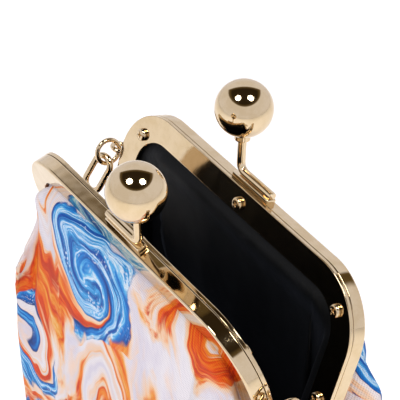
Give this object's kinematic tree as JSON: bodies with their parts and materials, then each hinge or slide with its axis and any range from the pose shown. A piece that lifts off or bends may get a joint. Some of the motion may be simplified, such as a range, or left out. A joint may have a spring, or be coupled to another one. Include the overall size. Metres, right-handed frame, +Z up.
{
  "type": "phone purse",
  "caption": "Tall soft purse standing open, with a dark lining and a hinged metal kiss-lock frame that closes with crossing balls on bent rods.",
  "frame": {"origin": "middle of the flat base, on the floor", "axes": "+Z up, +X along the hinge, -Y towards the front half of the frame"},
  "size_m": [0.1132, 0.0522, 0.2125],
  "materials": {
    "gold_metal": "pale champagne gold plating, mirror polished",
    "gold_mirror": "pale champagne gold plating, mirror polished",
    "gold_screw": "pale champagne gold plating, polished",
    "printed_cloth": "fine plain weave with a marbled print in blue, orange and white",
    "lining_cloth": "smooth dark navy lining with a soft sheen"
  },
  "bodies": {
    "root": {"frame_half_back": "gold_metal", "frame_half_front": "gold_metal", "clamp_plate_back": "gold_mirror", "clamp_plate_front": "gold_mirror", "screw_back_1": "gold_screw", "screw_back_2": "gold_screw", "screw_back_3": "gold_screw", "screw_back_4": "gold_screw", "screw_back_5": "gold_screw", "screw_front_1": "gold_screw", "screw_front_2": "gold_screw", "screw_front_3": "gold_screw", "screw_front_4": "gold_screw", "screw_front_5": "gold_screw", "outer_pouch": "printed_cloth", "lining": "lining_cloth", "hinge_rivet_left": "gold_screw", "hinge_rivet_right": "gold_screw", "side_ring_left": "gold_metal", "side_ring_right": "gold_metal", "side_link_left": "gold_metal", "side_link_right": "gold_metal"}
  },
  "joints": []
}
